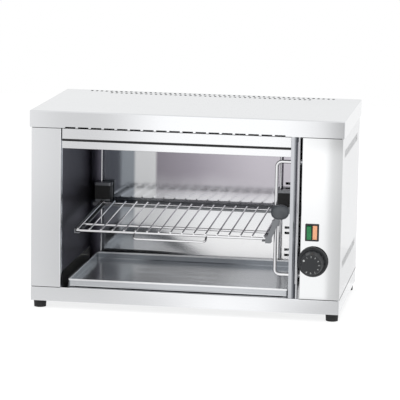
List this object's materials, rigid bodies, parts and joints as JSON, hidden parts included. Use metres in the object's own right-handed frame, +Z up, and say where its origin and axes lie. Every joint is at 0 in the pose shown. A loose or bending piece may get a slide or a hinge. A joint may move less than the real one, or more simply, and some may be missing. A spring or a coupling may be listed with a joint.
{
  "type": "salamander toaster",
  "caption": "Open-front countertop electric grill in stainless sheet with a height-adjustable wire rack, pull-out drip tray, control knob and rocker switch.",
  "frame": {"origin": "on the standing surface, under the middle of the overall length and width", "axes": "+X to the right when facing the open front, +Y to the back, +Z up"},
  "size_m": [0.6, 0.3854, 0.383],
  "materials": {
    "stainless_casing": "fine brushed stainless sheet",
    "stainless_bright": "bright rolled stainless trim",
    "stainless_mirror": "bright annealed stainless liner, near mirror",
    "stainless_tray": "bright stainless pan",
    "galvanised_sheet": "galvanised sheet",
    "black_rubber": "matte black rubber",
    "chromed_wire": "bright chromed wire and rod",
    "steel_fittings": "satin steel fittings",
    "black_bearing": "filled black bearing plastic",
    "dark_bakelite": "dark grey moulded knob",
    "black_plastic": "satin black moulded plastic",
    "white_plastic": "white inlay",
    "green_lens": "translucent green moulding",
    "amber_lens": "translucent amber moulding",
    "ceramic_white": null,
    "oxidised_tube": "dark oxidised heating tube",
    "zinc_screws": "zinc-plated steel"
  },
  "bodies": {
    "casing": {"base_frame": "stainless_casing", "bottom_plate": "galvanised_sheet", "cable_gland": "black_plastic", "casing_left": "stainless_casing", "casing_right": "stainless_casing", "cavity_liner": "stainless_mirror", "control_panel": "stainless_casing", "element_front": "oxidised_tube", "element_hanger_left": "steel_fittings", "element_hanger_right": "steel_fittings", "element_rear": "oxidised_tube", "element_terminals": "ceramic_white", "fascia_strip": "stainless_casing", "foot_front_left": "black_rubber", "foot_front_right": "black_rubber", "foot_rear_left": "black_rubber", "foot_rear_right": "black_rubber", "foot_screws": "zinc_screws", "front_guide_rod": "chromed_wire", "front_rod_nut_lower": "zinc_screws", "front_rod_nut_upper": "zinc_screws", "gland_nut": "black_plastic", "guide_rod_left": "chromed_wire", "guide_rod_right": "chromed_wire", "hood_lip": "stainless_casing", "jamb_post": "stainless_bright", "lid_screws": "zinc_screws", "pilot_lens": "amber_lens", "rear_panel": "stainless_casing", "rear_screws": "zinc_screws", "reflector": "stainless_mirror", "regulator": "black_plastic", "regulator_nut": "zinc_screws", "rod_clip_left_lower": "steel_fittings", "rod_clip_left_upper": "steel_fittings", "rod_clip_right_lower": "steel_fittings", "rod_clip_right_upper": "steel_fittings", "switch_housing": "black_plastic", "terminal_block": "ceramic_white", "top_cover": "stainless_casing", "tray_runner_left": "steel_fittings", "tray_runner_right": "steel_fittings", "trim_bead": "stainless_bright"},
    "carrier": {"carrier_frame": "steel_fittings", "slider_left": "steel_fittings", "slider_right": "steel_fittings", "bush_left": "black_bearing", "bush_right": "black_bearing", "handle_arm": "steel_fittings", "guide_eye": "steel_fittings", "ball_knob": "dark_bakelite"},
    "rack": {"wire_rack": "chromed_wire", "rack_pull_loop": "chromed_wire"},
    "tray": {"drip_tray": "stainless_tray"},
    "knob": {"control_knob": "black_plastic", "knob_pointer": "white_plastic", "knob_shaft": "zinc_screws"},
    "rocker": {"switch_rocker": "green_lens"}
  },
  "joints": [
    {"name": "rack_height", "type": "slide", "parent": "casing", "child": "carrier", "axis": [0, 0, 1], "range_m": [-0.075, 0.075]},
    {"name": "rack_pull", "type": "slide", "parent": "carrier", "child": "rack", "axis": [0, -0.9989, -0.047], "range_m": [0, 0.2]},
    {"name": "tray_pull", "type": "slide", "parent": "casing", "child": "tray", "axis": [0, -1, 0], "range_m": [0, 0.26]},
    {"name": "knob_turn", "type": "hinge", "parent": "casing", "child": "knob", "pos_m": [0.246, -0.16, 0.1155], "axis": [0, -1, 0], "range_deg": [-270, 0]},
    {"name": "rocker_tilt", "type": "hinge", "parent": "casing", "child": "rocker", "pos_m": [0.243, -0.15535, 0.171], "axis": [-1, 0, 0], "range_deg": [0, 18]}
  ]
}
